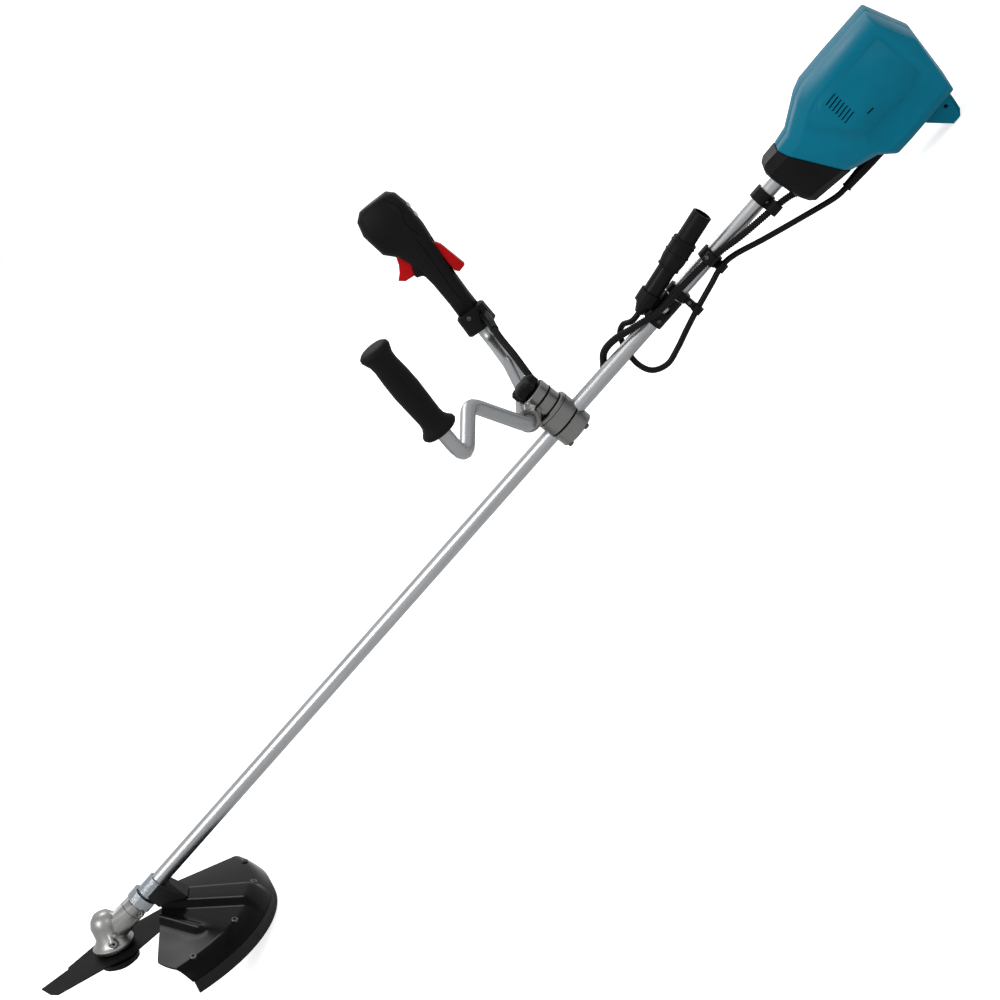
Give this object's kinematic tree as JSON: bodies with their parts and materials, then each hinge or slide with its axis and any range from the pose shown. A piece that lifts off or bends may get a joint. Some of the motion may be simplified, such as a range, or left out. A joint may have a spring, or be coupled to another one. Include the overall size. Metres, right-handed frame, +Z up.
{
  "type": "brush cutter",
  "caption": "Electric brush cutter with a rear motor housing, straight pipe, bike handle with a trigger grip, angled gear case, flat blade and rear guard.",
  "frame": {"origin": "middle of the bounding box, on the floor plane under the guard's rim and the housing's foot", "axes": "+X along the pipe from the cutting head to the motor, +Y to the operator's right when the machine points to -X, +Z up"},
  "size_m": [1.945, 0.5889, 0.5342],
  "materials": {
    "teal": "satin moulded",
    "black": "fine grained",
    "rubber": "matt",
    "gloss": "polished",
    "silver": "satin anodised",
    "cast": "fine cast",
    "zinc": "zinc plated",
    "steel": "ground",
    "blade_black": "satin black paint",
    "red": "semi gloss",
    "copper": "copper winding",
    "pale": "soft sheen"
  },
  "bodies": {
    "machine": {"housing_left": "teal", "housing_right": "teal", "nose": "black", "shaft_bush_1": "black", "shaft_bush_2": "black", "shaft_bush_3": "black", "guard_skirt": "black", "guard_bracket": "black", "upper_clip": "black", "middle_clip": "black", "cord_holder": "black", "hanger_clamp": "black", "plug_collar": "black", "plug_mouth": "black", "cord_boot": "rubber", "plug_boot": "rubber", "power_cord": "rubber", "control_sleeve": "rubber", "guard": "gloss", "main_pipe": "silver", "gear_case": "cast", "motor_case": "cast", "motor_plate": "cast", "controller": "cast", "bracket_lower": "cast", "bracket_base": "cast", "clamp_collar": "zinc", "guard_band": "zinc", "knob_bolt": "zinc", "pinion_bearing": "steel", "upper_bearing": "steel", "lower_bearing": "steel", "front_bearing": "steel", "rear_bearing": "steel", "stator": "copper"},
    "cutter": {"bevel_gear": "steel", "spindle": "steel", "receiver_washer": "zinc", "blade": "blade_black", "clamp_washer": "zinc", "glide_cup": "black", "spindle_nut": "zinc"},
    "drive": {"drive_shaft": "steel", "pinion": "steel", "coupling": "zinc", "rotor": "steel", "cooling_fan": "black"},
    "handle": {"handle_holder": "cast", "handle_cap": "cast", "handlebar": "silver", "left_grip": "rubber", "right_grip": "black", "grip_collar": "black", "handle_cable": "rubber"},
    "knob": {"knob": "black"},
    "trigger": {"trigger": "red"},
    "lock_lever": {"lock_lever": "red"},
    "power_button": {"power_button": "pale"},
    "speed_button": {"speed_button": "pale"}
  },
  "joints": [
    {"name": "cutter_spin", "type": "hinge", "parent": "machine", "child": "cutter", "pos_m": [-0.87235, -0.0051, 0.15062], "axis": [0.52, 0, 0.8542], "continuous": true},
    {"name": "drive_spin", "type": "hinge", "parent": "machine", "child": "drive", "pos_m": [-0.85961, -0.0051, 0.17155], "axis": [0.9997, 0, -0.0232], "continuous": true},
    {"name": "handle_swivel", "type": "hinge", "parent": "machine", "child": "handle", "pos_m": [0.22426, -0.0051, 0.19636], "axis": [0.0232, 0, 0.9997], "range_deg": [-90, 0]},
    {"name": "knob_turn", "type": "hinge", "parent": "handle", "child": "knob", "pos_m": [0.22463, -0.0051, 0.21236], "axis": [0.0232, 0, 0.9997], "range_deg": [0, 360]},
    {"name": "trigger_pull", "type": "hinge", "parent": "handle", "child": "trigger", "pos_m": [0.2144, 0.26255, 0.44319], "axis": [0.0025, -0.9943, 0.1066], "range_deg": [0, 10], "stiffness_Nm_per_rad": 0.4},
    {"name": "lock_lever_press", "type": "hinge", "parent": "handle", "child": "lock_lever", "pos_m": [0.25416, 0.26015, 0.41985], "axis": [-0.0025, 0.9943, -0.1066], "range_deg": [0, 6], "stiffness_Nm_per_rad": 0.4},
    {"name": "power_button_press", "type": "slide", "parent": "handle", "child": "power_button", "axis": [-0.9747, 0.0214, 0.2223], "range_m": [0, 0.0015], "stiffness_N_per_m": 400},
    {"name": "speed_button_press", "type": "slide", "parent": "handle", "child": "speed_button", "axis": [-0.9747, 0.0214, 0.2223], "range_m": [0, 0.0015], "stiffness_N_per_m": 400}
  ],
  "couplings": [
    {"joint": "drive_spin", "follows": "cutter_spin", "ratio": 2}
  ]
}
